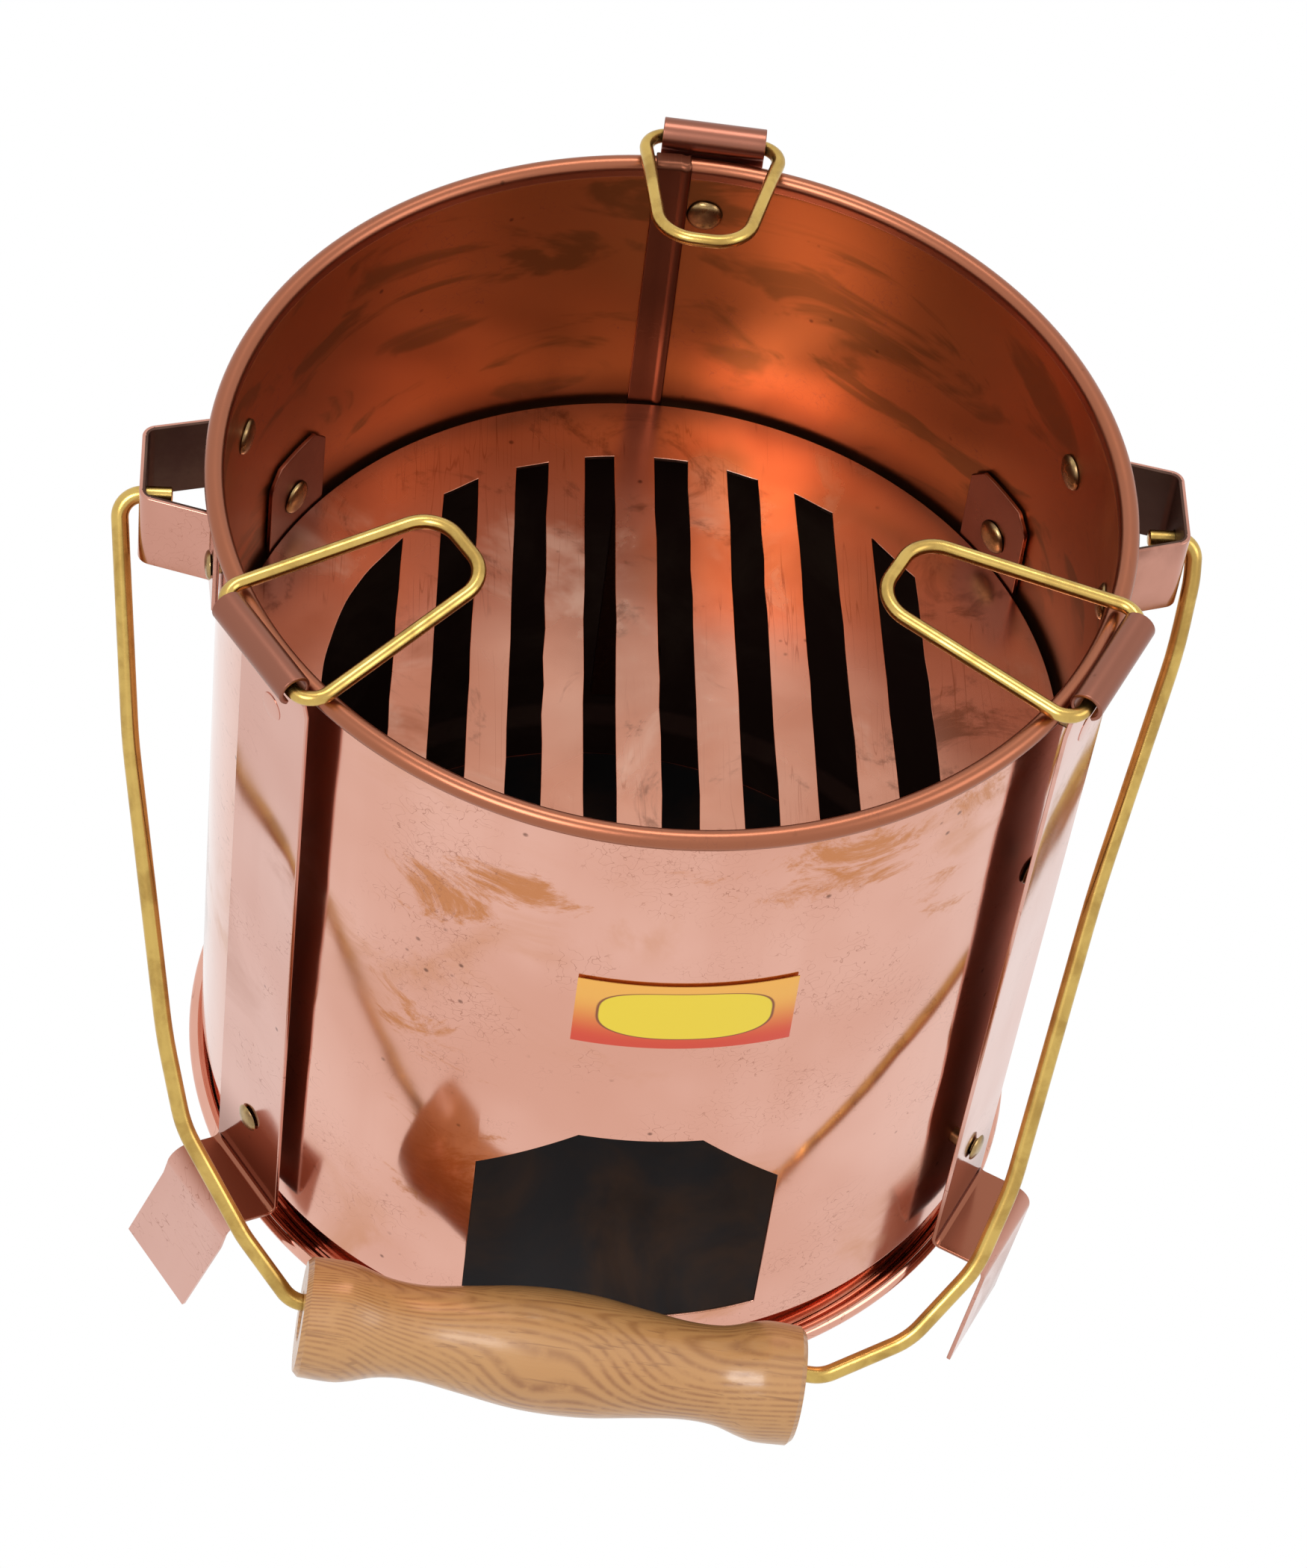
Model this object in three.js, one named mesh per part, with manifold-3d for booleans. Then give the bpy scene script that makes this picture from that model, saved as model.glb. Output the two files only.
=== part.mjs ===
// Charcoal brazier: a riveted copper bucket on three bent legs, with a slotted grate, three wire pot
// rests and a wooden-gripped bail. Millimetres, +Z up, floor at z = 0, air opening towards -Y.
import * as THREE from "three";
import { mergeVertices } from "three/addons/utils/BufferGeometryUtils.js";
import Module from "manifold-3d";

const wasm = await Module();
wasm.setup();

// ---- driving dimensions -------------------------------------------------------------------------
const GAP = 0.3; // clearance between neighbouring pieces
const ROUND = 56; // facets of the big turned pieces

// the body's axis stands at this offset from the middle of the part's footprint
const AXIS_X = 0.394;
const AXIS_Y = 6.815;

const WALL_T = 0.8;
const WALL_TOP_R = 97.9; // middle of the sheet, just under the bead
const WALL_FOOT_R = 96.9; // middle of the sheet, at the crease
const CREASE_Z = 38.5;
const NECK_R = 92.8;
const NECK_FOOT_Z = 24.7;
const BEAD_R = 1.8; // bead, middle of the sheet
const BEAD_Z = 225.3;
const RIM_WIRE_R = 1.1;
const SEAM_AZ = [86.7, 90.4];
const SEAM_IN_R = 95.8;

const PAN_T = 0.9;
const PAN_UNDER_Z = 23;
const PAN_LIP_R = 98.1; // centre of the rolled lip
const PAN_LIP_Z = 26.8;
const PAN_ROLL_R = 1.5;

const OPENING = [[-34.4, 47.5], [33.3, 47.5], [33.3, 98.2], [14.5, 117], [-13, 117.5], [-34.4, 98.4]];

const GRATE_R = 95.4;
const GRATE_T = 1.0;
const GRATE_TOP_Z = 150.8;
const SLOT_END_R = 78; // the slots stop on this circle
const SLOT_D_R = 73.5; // and the D-shaped one on this
const SLOT_EDGES = [[-90, -54], [-45.3, -37.3], [-28.6, -21.3], [-12.4, -5.5], [4, 11.7], [21.1, 28.4],
  [36.9, 45.4], [54, 63]];
const SLOT_FAN = 0.0008; // the slots open out slightly towards the front
const SLOT_FAN_X = 8;

const TAB = { width: 22, t: 1.0, topZ: 175, inR: 95.75, reach: 85, chamfer: 4, rivetZ: 160 };
const TABS = { back_left: 147.6, back_right: 31, front_left: -147.6, front_right: -31 };

const STRAP_T = 1.0;
const STRAP_TOP_R = 102.8; // middle of the strap just under the barrel
const STRAP_FOOT_R = 99.9;
const FOOT_BEND_Z = 34;
const BARREL = { r: 104.9, z: 229.9, radius: 3.2, endAngle: -62 };
const HINGE_Z = 229.2;
const STRAP_SHOULDER_Z = 222;
// az: azimuth of the barrel; shift: how far the strap's top and foot stand off that azimuth; bend, knee
// and tip: the foot's bends and its end
const LEGS = {
  left: { az: -147.3, width: 25.6, barrel: 27.4, shift: [3, -1], bend: 37, knee: [113.4, 41], tip: 118.5, swing: -9.5 },
  right: { az: -29, width: 25.6, barrel: 27.4, shift: [-4, -6.5], bend: 36, knee: [114.2, 36], tip: 111, swing: -3.5 },
  back: { az: 84, width: 23.6, barrel: 23.6, shift: [0, 0], bend: 34, knee: [113, 34], tip: 114, swing: 0 },
};
const LEG_RIVET_Z = { top: 213, bottom: 61 };

const LOOP_WIRE_R = 1.6;
const LOOP_RISE = 5; // degrees that a loop lying on the rim points up
const LOOPS = {
  left: { base: 18.6, tip: 10.3, length: 51, lean: -1, corner: 8.5 },
  right: { base: 18.6, tip: 10.3, length: 50.5, lean: -3.4, corner: 8.5 },
  back: { base: 16.2, tip: 9.4, length: 36.0, lean: 0, corner: 9 },
};

const BRACKET = { t: 1.4, height: 21, topZ: 214, face: 10, mouth: 14.5, flange: 9.5, outX: 115 };
const BRACKET_Y = { left: 9.5, right: 11 };
const PIVOT_Z = 203.5;
const BAIL_HOLE_R = 2.6;

const BAIL_WIRE_R = 1.95;
const BAIL_SWING = 39; // degrees forward of hanging straight down
// the bail in its own plane: across, down and bend radius, from inside the left bracket to the right
const BAIL = [[-108.5, 0, 0], [-120.5, 0, 5], [-115.8, 55, 150], [-105.7, 122, 120], [-100.7, 143, 30],
  [-86.2, 168, 26], [-74.8, 183, 7], [47.4, 197, 9], [66.9, 187.5, 18], [81.2, 170, 26],
  [88.2, 150.5, 60], [102.5, 81, 400], [116.7, 25, 120], [119.2, 9, 30], [119.2, 0, 5], [108.5, 0, 0]];
const GRIP_LINE = [[-74.8, 183], [47.4, 197]];
const GRIP_CENTRE = -15.4;
const GRIP_BORE_R = 5.5;
const GRIP_HANG = 3.2; // the bored grip hangs this far below the wire's middle
// along the grip from its middle, and radius
const GRIP_PROFILE = [[-57.5, 12.6], [-56.3, 13.8], [-49, 13.9], [-45, 13.2], [-38, 11.3], [-30, 10.9],
  [-20, 12.2], [-9, 13.8], [0, 14.3], [10, 13.9], [21, 12.4], [31, 11.2], [39, 11.4], [45.5, 13.2],
  [49.5, 14], [56.3, 13.8], [57.5, 12.6]];

const RIVET = { shank: 2, hole: 2.3, headR: 4.2, headH: 1.5, tailR: 3.3, tailH: 1.1 };

const LABEL = { az: [-100.4, -72.4], z: [152.7, 174.3], t: 0.25, in: 0.35 };

// ---- materials ----------------------------------------------------------------------------------
const copper = new THREE.MeshStandardMaterial({ color: 0xd19684, metalness: 1, roughness: 0.35 });
const brass = new THREE.MeshStandardMaterial({ color: 0xc2a040, metalness: 1, roughness: 0.4 });
const steel = new THREE.MeshStandardMaterial({ color: 0x77736f, metalness: 1, roughness: 0.6 });
const wood = new THREE.MeshStandardMaterial({ color: 0xbe8c55, roughness: 0.5 });
const paper = new THREE.MeshStandardMaterial({ color: 0xf0a040, roughness: 0.6 });

// ---- helpers ------------------------------------------------------------------------------------
const rad = THREE.MathUtils.degToRad;
const lerp = THREE.MathUtils.lerp;
const EX = new THREE.Vector3(1, 0, 0);
const EY = new THREE.Vector3(0, 1, 0);
const EZ = new THREE.Vector3(0, 0, 1);
const radial = (az) => new THREE.Vector3(Math.cos(rad(az)), Math.sin(rad(az)), 0);
const tangent = (az) => new THREE.Vector3(-Math.sin(rad(az)), Math.cos(rad(az)), 0);

// closed body from a three geometry, faces outward
function solid(geometry) {
  const plain = geometry.index ? geometry.clone() : geometry;
  plain.deleteAttribute("normal");
  plain.deleteAttribute("uv");
  const merged = mergeVertices(plain, 1e-4);
  const p = merged.attributes.position.array;
  const tri = [];
  let volume = 0;
  for (let i = 0; i < merged.index.count; i += 3) {
    const [a, b, c] = [0, 1, 2].map((k) => merged.index.getX(i + k));
    if (a === b || b === c || a === c) continue;
    tri.push(a, b, c);
    const [A, B, C] = [a, b, c].map((k) => new THREE.Vector3().fromArray(p, 3 * k));
    volume += A.dot(B.cross(C));
  }
  if (volume < 0) for (let i = 0; i < tri.length; i += 3) [tri[i], tri[i + 1]] = [tri[i + 1], tri[i]];
  return new wasm.Manifold(new wasm.Mesh({
    numProp: 3, vertProperties: new Float32Array(p), triVerts: new Uint32Array(tri),
  }));
}

const group = new THREE.Group();
function add(name, body, material) {
  const mesh = body.getMesh();
  const geometry = new THREE.BufferGeometry();
  geometry.setAttribute("position", new THREE.Float32BufferAttribute(mesh.vertProperties, 3));
  geometry.setIndex(new THREE.Uint32BufferAttribute(mesh.triVerts, 1));
  geometry.translate(AXIS_X, AXIS_Y, 0);
  geometry.computeVertexNormals();
  const piece = new THREE.Mesh(geometry, material);
  piece.name = name;
  group.add(piece);
}

// 2-D or 3-D corner list [..coords, radius] to a point list with round corners
function rounded(corners, step = 20) {
  const out = [];
  corners.forEach((corner, i) => {
    const size = corner.length - 1;
    const at = new THREE.Vector3(...corner.slice(0, size));
    const radius = corner[size];
    if (!radius || i === 0 || i === corners.length - 1) return void out.push(at);
    const before = new THREE.Vector3(...corners[i - 1].slice(0, size)).sub(at);
    const after = new THREE.Vector3(...corners[i + 1].slice(0, size)).sub(at);
    const room = 0.49 * Math.min(before.length(), after.length());
    before.normalize();
    after.normalize();
    const turn = Math.PI - before.angleTo(after);
    const cut = Math.min(radius * Math.tan(turn / 2), room);
    const r = cut / Math.tan(turn / 2);
    const mid = before.clone().add(after).normalize();
    const centre = at.clone().addScaledVector(mid, r / Math.cos(turn / 2));
    const start = at.clone().addScaledVector(before, cut).sub(centre);
    const end = at.clone().addScaledVector(after, cut).sub(centre);
    const n = Math.max(2, Math.ceil(THREE.MathUtils.radToDeg(turn) / step));
    for (let k = 0; k <= n; k++) {
      const s = k / n;
      const point = start.clone().multiplyScalar(Math.sin((1 - s) * turn))
        .addScaledVector(end, Math.sin(s * turn)).divideScalar(Math.sin(turn));
      out.push(centre.clone().add(point));
    }
  });
  return out;
}

function arc(cx, cy, r, from, to, n) {
  return Array.from({ length: n + 1 }, (_, k) => {
    const a = rad(lerp(from, to, k / n));
    return new THREE.Vector3(cx + r * Math.cos(a), cy + r * Math.sin(a), 0);
  });
}

// outline of a bent sheet of the given thickness round a 2-D point list
function ribbon(points, thickness) {
  const left = [];
  const right = [];
  points.forEach((point, i) => {
    const a = point.clone().sub(points[Math.max(i - 1, 0)]);
    const b = points[Math.min(i + 1, points.length - 1)].clone().sub(point);
    if (a.lengthSq() < 1e-12) a.copy(b);
    if (b.lengthSq() < 1e-12) b.copy(a);
    const na = new THREE.Vector3(-a.y, a.x, 0).normalize();
    const nb = new THREE.Vector3(-b.y, b.x, 0).normalize();
    const n = na.clone().add(nb).normalize();
    const half = thickness / 2 / n.dot(na);
    left.push(new THREE.Vector2(point.x + n.x * half, point.y + n.y * half));
    right.push(new THREE.Vector2(point.x - n.x * half, point.y - n.y * half));
  });
  return [...left, ...right.reverse()];
}

// prism on a 2-D outline: u and v are the outline's axes, the depth runs from d0 to d1 along u x v
function prism(outline, u, v, d0, d1) {
  const shape = new THREE.Shape(outline.map((p) => (p.isVector2 ? p : new THREE.Vector2(...p))));
  const geometry = new THREE.ExtrudeGeometry(shape, { depth: d1 - d0, bevelEnabled: false });
  geometry.translate(0, 0, d0);
  geometry.applyMatrix4(new THREE.Matrix4().makeBasis(u, v, u.clone().cross(v)));
  return solid(geometry);
}

// body turned round a vertical axis: outline in radius and height
function turned(outline, facets = ROUND) {
  const geometry = new THREE.LatheGeometry([...outline, outline[0]], facets);
  geometry.applyMatrix4(new THREE.Matrix4().makeBasis(EX, EZ, EY.clone().negate()));
  return solid(geometry);
}

const annulus = (r0, r1, z0, z1, facets = ROUND) => turned([
  new THREE.Vector2(r0, z0), new THREE.Vector2(r1, z0), new THREE.Vector2(r1, z1), new THREE.Vector2(r0, z1),
], facets);

// round bar or hole along a direction, from one distance to the other
function bar(r, from, axis, d0, d1, facets = 14) {
  const geometry = new THREE.CylinderGeometry(r, r, d1 - d0, facets);
  geometry.translate(0, (d0 + d1) / 2, 0);
  geometry.applyQuaternion(new THREE.Quaternion().setFromUnitVectors(EY, axis));
  geometry.translate(from.x, from.y, from.z);
  return solid(geometry);
}

// wire of round section along points that lie in the plane square to the given normal
function wire(points, normal, r, sides = 9) {
  const positions = [];
  const index = [];
  points.forEach((point, i) => {
    const a = point.clone().sub(points[Math.max(i - 1, 0)]).normalize();
    const b = points[Math.min(i + 1, points.length - 1)].clone().sub(point).normalize();
    if (i === 0) a.copy(b);
    if (i === points.length - 1) b.copy(a);
    const side = a.clone().add(b).normalize().cross(normal);
    const widen = 1 / Math.max(0.5, side.dot(a.clone().cross(normal)));
    for (let k = 0; k < sides; k++) {
      const t = (2 * Math.PI * k) / sides;
      const q = point.clone().addScaledVector(side, r * widen * Math.cos(t)).addScaledVector(normal, r * Math.sin(t));
      positions.push(q.x, q.y, q.z);
    }
  });
  for (let i = 0; i < points.length - 1; i++) {
    for (let k = 0; k < sides; k++) {
      const [p, q] = [i * sides + k, i * sides + ((k + 1) % sides)];
      index.push(p, q, p + sides, q, q + sides, p + sides);
    }
  }
  const last = (points.length - 1) * sides;
  for (let k = 1; k < sides - 1; k++) index.push(0, k + 1, k, last, last + k, last + k + 1);
  const geometry = new THREE.BufferGeometry();
  geometry.setAttribute("position", new THREE.Float32BufferAttribute(positions, 3));
  geometry.setIndex(index);
  return solid(geometry);
}

// ---- wall ---------------------------------------------------------------------------------------
const wallR = (z) => lerp(WALL_FOOT_R, WALL_TOP_R, (z - CREASE_Z) / (BEAD_Z - CREASE_Z));
const wallIn = (z) => wallR(z) - WALL_T / 2;
const wallOut = (z) => wallR(z) + WALL_T / 2;
const strapR = (z) => lerp(STRAP_FOOT_R, STRAP_TOP_R, (z - FOOT_BEND_Z) / (STRAP_SHOULDER_Z - FOOT_BEND_Z));
const beadR = WALL_TOP_R + BEAD_R;

// every rivet: azimuth, height, innermost and outermost face it clamps
const rivets = {};
for (const [name, az] of Object.entries(TABS)) {
  rivets[`grate_tab_${name}_rivet`] = { az, z: TAB.rivetZ, rIn: TAB.inR, rOut: wallOut(TAB.rivetZ) };
}
for (const [name, leg] of Object.entries(LEGS)) {
  for (const [end, z] of Object.entries(LEG_RIVET_Z)) {
    const s = (z - FOOT_BEND_Z) / (STRAP_SHOULDER_Z - FOOT_BEND_Z);
    const off = lerp(leg.shift[1], leg.shift[0], s);
    const turn = Math.atan2(off, strapR(z));
    const rOut = (strapR(z) + STRAP_T / 2) / Math.cos(turn) + RIVET.tailR * Math.tan(Math.abs(turn)) + 0.1;
    rivets[`leg_${name}_rivet_${end}`] = { az: leg.az + THREE.MathUtils.radToDeg(turn), z, rIn: wallIn(z), rOut };
  }
}

// brackets in plan: the sheet's middle line from the back flange to the front one
const bracketZ = BRACKET.topZ - BRACKET.height / 2;
const flangeR = wallOut(bracketZ) + GAP + 0.15 + BRACKET.t / 2;
const wallPoint = (y, side) => [side * Math.sqrt(flangeR ** 2 - y ** 2), y];
const brackets = {};
for (const [name, side] of [["left", -1], ["right", 1]]) {
  const y = BRACKET_Y[name];
  const ends = [y + BRACKET.mouth, y - BRACKET.mouth];
  const out = [1, -1].map((k, i) => {
    const az = Math.asin(ends[i] / flangeR) + (k * BRACKET.flange) / flangeR;
    return [side * flangeR * Math.cos(az), flangeR * Math.sin(az)];
  });
  const line = [[...out[0], 0], [...wallPoint(ends[0], side), 1.3], [side * BRACKET.outX, y + BRACKET.face, 2.6],
    [side * BRACKET.outX, y - BRACKET.face, 2.6], [...wallPoint(ends[1], side), 1.3], [...out[1], 0]];
  brackets[name] = { side, y, line };
  ["back", "front"].forEach((end, i) => {
    const [p, q] = [out[i], wallPoint(ends[i], side)];
    const az = THREE.MathUtils.radToDeg(Math.atan2(0.56 * p[1] + 0.44 * q[1], 0.56 * p[0] + 0.44 * q[0]));
    rivets[`bail_bracket_${name}_rivet_${end}`] = { az, z: bracketZ, rIn: wallIn(bracketZ), rOut: flangeR + BRACKET.t / 2 };
  });
}

const rivetHoles = Object.values(rivets).map(({ az, z }) =>
  bar(RIVET.hole, new THREE.Vector3(0, 0, z), radial(az), 90, 110));

// ---- body, rim wire, pan ------------------------------------------------------------------------
{
  const line = [
    ...rounded([[NECK_R, NECK_FOOT_Z, 0], [NECK_R, 35.8, 1.8], [WALL_FOOT_R, CREASE_Z, 1.8], [WALL_TOP_R, BEAD_Z, 0]], 30)
      .slice(0, -1),
    ...arc(beadR, BEAD_Z, BEAD_R, 180, -98, 9),
  ];
  let body = turned(ribbon(line, WALL_T));
  const wedge = prism([[0, 0], ...SEAM_AZ.map((az) => [120 * Math.cos(rad(az)), 120 * Math.sin(rad(az))])], EX, EY, 0, 300);
  const seam = annulus(SEAM_IN_R, WALL_FOOT_R + 0.1, CREASE_Z + 4, BEAD_Z);
  const seamTop = annulus(SEAM_IN_R, WALL_TOP_R, BEAD_Z - 12, BEAD_Z + 2.9);
  const fold = annulus(SEAM_IN_R, beadR + 1.2, BEAD_Z + 1.75, BEAD_Z + 2.9);
  body = body.add(seam.add(seamTop).add(fold).intersect(wedge));
  body = body.subtract(prism(OPENING, EX, EZ, 60, 130));
  for (const hole of rivetHoles) body = body.subtract(hole);
  add("body_shell", body, copper);
}

add("rim_wire", turned(arc(beadR, BEAD_Z, RIM_WIRE_R, 0, 315, 7).map((p) => new THREE.Vector2(p.x, p.y))), steel);

{
  const floorZ = PAN_UNDER_Z + PAN_T / 2;
  const line = [
    ...rounded([[0, floorZ, 0], [95.4, floorZ, 2.4], [PAN_LIP_R - PAN_ROLL_R, PAN_LIP_Z, 0]], 30).slice(0, -1),
    ...arc(PAN_LIP_R, PAN_LIP_Z, PAN_ROLL_R, 180, -60, 6),
  ];
  add("base_pan", turned(ribbon(line, PAN_T)), copper);
}

// ---- grate and its tabs -------------------------------------------------------------------------
{
  let grate = turned([[0, -GRATE_T], [GRATE_R, -GRATE_T], [GRATE_R, 0], [0, 0]]
    .map(([r, z]) => new THREE.Vector2(r, GRATE_TOP_Z + z)));
  const field = (r) => bar(r, new THREE.Vector3(0, 0, GRATE_TOP_Z), EZ, -5, 5, ROUND);
  for (const [x0, x1] of SLOT_EDGES) {
    const at = (x, y) => [x + SLOT_FAN * (x - SLOT_FAN_X) * (SLOT_END_R - y), y];
    const slot = prism([at(x0, -90), at(x1, -90), at(x1, 90), at(x0, 90)], EX, EY, 140, 160);
    grate = grate.subtract(slot.intersect(field(x0 === -90 ? SLOT_D_R : SLOT_END_R)));
  }
  add("grate", grate, copper);
}

const grateUnder = GRATE_TOP_Z - GRATE_T - GAP;
const tabRing = turned([[TAB.reach, grateUnder - TAB.t], [TAB.inR + TAB.t, grateUnder - TAB.t], [TAB.inR + TAB.t, TAB.topZ],
  [TAB.inR, TAB.topZ], [TAB.inR, grateUnder], [TAB.reach, grateUnder]].map((p) => new THREE.Vector2(...p)));
for (const [name, az] of Object.entries(TABS)) {
  const h = TAB.width / 2;
  const c = TAB.chamfer;
  const outline = prism([[-h, 140], [h, 140], [h, TAB.topZ - c], [h - c, TAB.topZ + 0.01], [c - h, TAB.topZ + 0.01],
    [-h, TAB.topZ - c]], tangent(az), EZ, 60, 120);
  const tab = tabRing.intersect(outline).subtract(bar(RIVET.hole, new THREE.Vector3(0, 0, TAB.rivetZ), radial(az), 80, 110));
  add(`grate_tab_${name}`, tab, copper);
}

// ---- legs ---------------------------------------------------------------------------------------
for (const [name, leg] of Object.entries(LEGS)) {
  const start = 180 + THREE.MathUtils.radToDeg(Math.acos((BARREL.r - STRAP_TOP_R) / BARREL.radius));
  const line = [
    ...rounded([[leg.tip, -1.5, 0], [...leg.knee, 4], [STRAP_FOOT_R, leg.bend, 1.6],
      [STRAP_TOP_R, STRAP_SHOULDER_Z, 0]]),
    ...arc(BARREL.r, BARREL.z, BARREL.radius, start, BARREL.endAngle, 12),
  ];
  const [er, et] = [radial(leg.az), tangent(leg.az)];
  const half = leg.barrel / 2;
  let body = prism(ribbon(line, STRAP_T), er, EZ, -half, half);
  const w = leg.width / 2;
  const outline = prism([[-w, -5], [w, -5], [w, STRAP_SHOULDER_Z], [half, STRAP_SHOULDER_Z + 4.5], [half, 240], [-half, 240],
    [-half, STRAP_SHOULDER_Z + 4.5], [-w, STRAP_SHOULDER_Z]], et, EZ, 60, 140);
  body = body.intersect(outline).trimByPlane([0, 0, 1], 0);
  // hand-bent: the strap and the foot lean along the tangent
  body = body.warp((v) => {
    const strap = lerp(leg.shift[1], leg.shift[0], (v[2] - FOOT_BEND_Z) / (STRAP_SHOULDER_Z - FOOT_BEND_Z));
    const barrel = leg.shift[0] * THREE.MathUtils.clamp((STRAP_SHOULDER_Z + 4.5 - v[2]) / 4.5, 0, 1);
    const foot = leg.shift[1] + (leg.swing * (FOOT_BEND_Z - v[2])) / FOOT_BEND_Z;
    const s = v[2] > STRAP_SHOULDER_Z ? barrel : v[2] > FOOT_BEND_Z ? strap : foot;
    v[0] += s * et.x;
    v[1] += s * et.y;
  });
  for (const [end] of Object.entries(LEG_RIVET_Z)) {
    const { az, z } = rivets[`leg_${name}_rivet_${end}`];
    body = body.subtract(bar(RIVET.hole, new THREE.Vector3(0, 0, z), radial(az), 90, 112));
  }
  add(`leg_${name}`, body, copper);
}

// ---- pot rests ----------------------------------------------------------------------------------
for (const [name, loop] of Object.entries(LOOPS)) {
  const { az } = LEGS[name];
  const across = tangent(az);
  const normal = EZ.clone().applyAxisAngle(across, rad(LOOP_RISE));
  const inward = across.clone().cross(normal).negate();
  const points = rounded([[0.8, 0, 0], [loop.base, 0, 5], [loop.lean + loop.tip, loop.length, loop.corner],
    [loop.lean - loop.tip, loop.length, loop.corner], [-loop.base, 0, 5], [-0.8, 0, 0]], 18)
    .map((p) => radial(az).multiplyScalar(BARREL.r).setZ(HINGE_Z).addScaledVector(across, p.x).addScaledVector(inward, p.y));
  add(`pot_rest_${name}`, wire(points, normal, LOOP_WIRE_R), brass);
}

// ---- bail brackets, bail and grip ---------------------------------------------------------------
const pivots = ["left", "right"].map((name) =>
  new THREE.Vector3(brackets[name].side * BRACKET.outX, brackets[name].y, PIVOT_Z));
const bailAxis = pivots[1].clone().sub(pivots[0]).normalize();
const bailMid = pivots[0].clone().add(pivots[1]).divideScalar(2);
const bailFront = new THREE.Vector3(bailAxis.y, -bailAxis.x, 0);
const bailDown = EZ.clone().multiplyScalar(-Math.cos(rad(BAIL_SWING))).addScaledVector(bailFront, Math.sin(rad(BAIL_SWING)));
const bailNormal = bailAxis.clone().cross(bailDown);
const inBail = (u, w) => bailMid.clone().addScaledVector(bailAxis, u).addScaledVector(bailDown, w);

for (const [name, { line }] of Object.entries(brackets)) {
  let body = prism(ribbon(rounded(line, 30), BRACKET.t), EX, EY, BRACKET.topZ - BRACKET.height, BRACKET.topZ);
  for (const end of ["back", "front"]) {
    const { az, z } = rivets[`bail_bracket_${name}_rivet_${end}`];
    body = body.subtract(bar(RIVET.hole, new THREE.Vector3(0, 0, z), radial(az), 90, 112));
  }
  const from = pivots[name === "left" ? 0 : 1];
  body = body.subtract(bar(BAIL_HOLE_R, from, bailAxis, -3, 3));
  add(`bail_bracket_${name}`, body, copper);
}

add("bail_wire", wire(rounded(BAIL, 15).map((p) => inBail(p.x, p.y)), bailNormal, BAIL_WIRE_R), brass);

{
  const [a, b] = GRIP_LINE.map(([u, w]) => inBail(u, w));
  const along = b.clone().sub(a).normalize();
  const s = (GRIP_CENTRE - GRIP_LINE[0][0]) / (GRIP_LINE[1][0] - GRIP_LINE[0][0]);
  const centre = inBail(GRIP_CENTRE, lerp(GRIP_LINE[0][1], GRIP_LINE[1][1], s) + GRIP_HANG);
  const length = GRIP_PROFILE.at(-1)[0];
  const outline = [...GRIP_PROFILE.map(([s, r]) => new THREE.Vector2(r, s)),
    new THREE.Vector2(GRIP_BORE_R, length), new THREE.Vector2(GRIP_BORE_R, -length)];
  const geometry = new THREE.LatheGeometry([...outline, outline[0]], 24);
  geometry.applyQuaternion(new THREE.Quaternion().setFromUnitVectors(EY, along));
  geometry.translate(centre.x, centre.y, centre.z);
  add("grip", solid(geometry), wood);
}

// ---- rivets and label ---------------------------------------------------------------------------
for (const [name, { az, z, rIn, rOut }] of Object.entries(rivets)) {
  const dome = (r, h, n) => Array.from({ length: n + 1 }, (_, k) =>
    [r * Math.cos((Math.PI / 2) * (k / n)), h * Math.sin((Math.PI / 2) * (k / n))]);
  const inner = dome(RIVET.headR, RIVET.headH, 2).map(([r, h]) => [r, rIn - GAP - h]).reverse();
  const outer = dome(RIVET.tailR, RIVET.tailH, 2).map(([r, h]) => [r, rOut + GAP + h]);
  const outline = [...inner, [RIVET.shank, rIn - GAP], [RIVET.shank, rOut + GAP], ...outer]
    .map(([r, s]) => new THREE.Vector2(Math.max(r, 0), s));
  const geometry = new THREE.LatheGeometry([...outline, outline[0]], 12);
  geometry.applyMatrix4(new THREE.Matrix4().makeBasis(EZ, radial(az), tangent(az)));
  geometry.translate(0, 0, z);
  add(name, solid(geometry), brass);
}

{
  const z0 = LABEL.z[0];
  const r = wallOut(LABEL.z[1]) + LABEL.in + LABEL.t / 2;
  const outline = ribbon(arc(0, 0, r, ...LABEL.az, 12), LABEL.t);
  add("label", prism(outline, EX, EY, z0, LABEL.z[1]), paper);
}

export default group;
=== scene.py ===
# Looks of the charcoal brazier: a copper bucket on bent strap legs, with a slotted grate, brass wire
# pot rests and a bail with a turned wooden grip. Lengths are in millimetres until a mesh is written.
import math

import bmesh
import bpy
from mathutils import Matrix, Vector, noise


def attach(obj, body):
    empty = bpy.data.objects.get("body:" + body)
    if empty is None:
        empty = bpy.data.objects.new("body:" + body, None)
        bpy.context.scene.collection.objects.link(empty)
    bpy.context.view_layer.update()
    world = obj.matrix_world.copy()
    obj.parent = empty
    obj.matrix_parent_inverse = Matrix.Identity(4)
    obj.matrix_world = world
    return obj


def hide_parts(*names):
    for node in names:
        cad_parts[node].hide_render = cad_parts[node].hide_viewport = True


noise.seed_set(1)  # the same rivet dents and slot edges in every run
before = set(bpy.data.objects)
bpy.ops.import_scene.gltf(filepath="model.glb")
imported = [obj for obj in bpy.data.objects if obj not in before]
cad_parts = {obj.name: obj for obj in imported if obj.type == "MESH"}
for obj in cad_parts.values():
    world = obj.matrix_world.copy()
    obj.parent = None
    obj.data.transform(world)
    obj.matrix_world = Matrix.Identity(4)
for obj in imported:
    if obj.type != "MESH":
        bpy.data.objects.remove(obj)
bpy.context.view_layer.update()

# ---- sizes --------------------------------------------------------------------------------------
AXIS = Vector((0.394, 6.815, 0))  # foot of the body's axis
WALL_T = 0.8
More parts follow.
